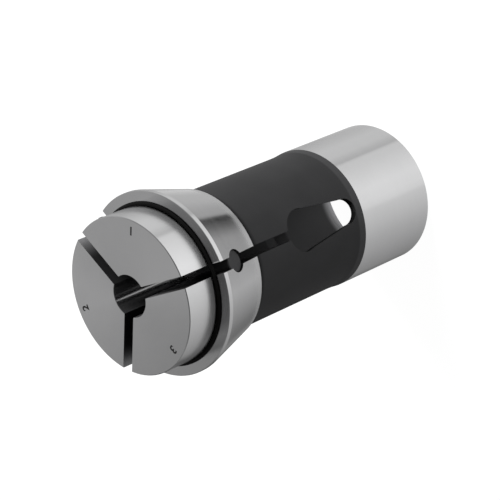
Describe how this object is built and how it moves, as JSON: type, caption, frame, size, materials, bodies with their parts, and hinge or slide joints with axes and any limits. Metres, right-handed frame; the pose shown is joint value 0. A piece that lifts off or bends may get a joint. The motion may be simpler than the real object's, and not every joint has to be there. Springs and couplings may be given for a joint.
{
  "type": "spring collet",
  "caption": "Push-type spring collet: ground nose and closing cone, slotted jaws round a workpiece bore, windowed spring body, hollow guide shank, slot plugs and a seal ring at the nose.",
  "frame": {"origin": "centre of the rear face, on the collet's axis", "axes": "+Z along the axis from the rear face to the nose face, +X through the first slot, its window and its plug"},
  "size_m": [0.0654, 0.0654, 0.1288],
  "materials": {
    "spring_steel": "ground steel on the nose, head and shank, black oxide on the spring body",
    "ring_rubber": "smooth black nitrile",
    "plug_rubber": "matt dark grey"
  },
  "bodies": {
    "root": {"collet": "spring_steel", "seal_ring": "ring_rubber", "slot_plug_1": "plug_rubber", "slot_plug_2": "plug_rubber", "slot_plug_3": "plug_rubber"}
  },
  "joints": []
}
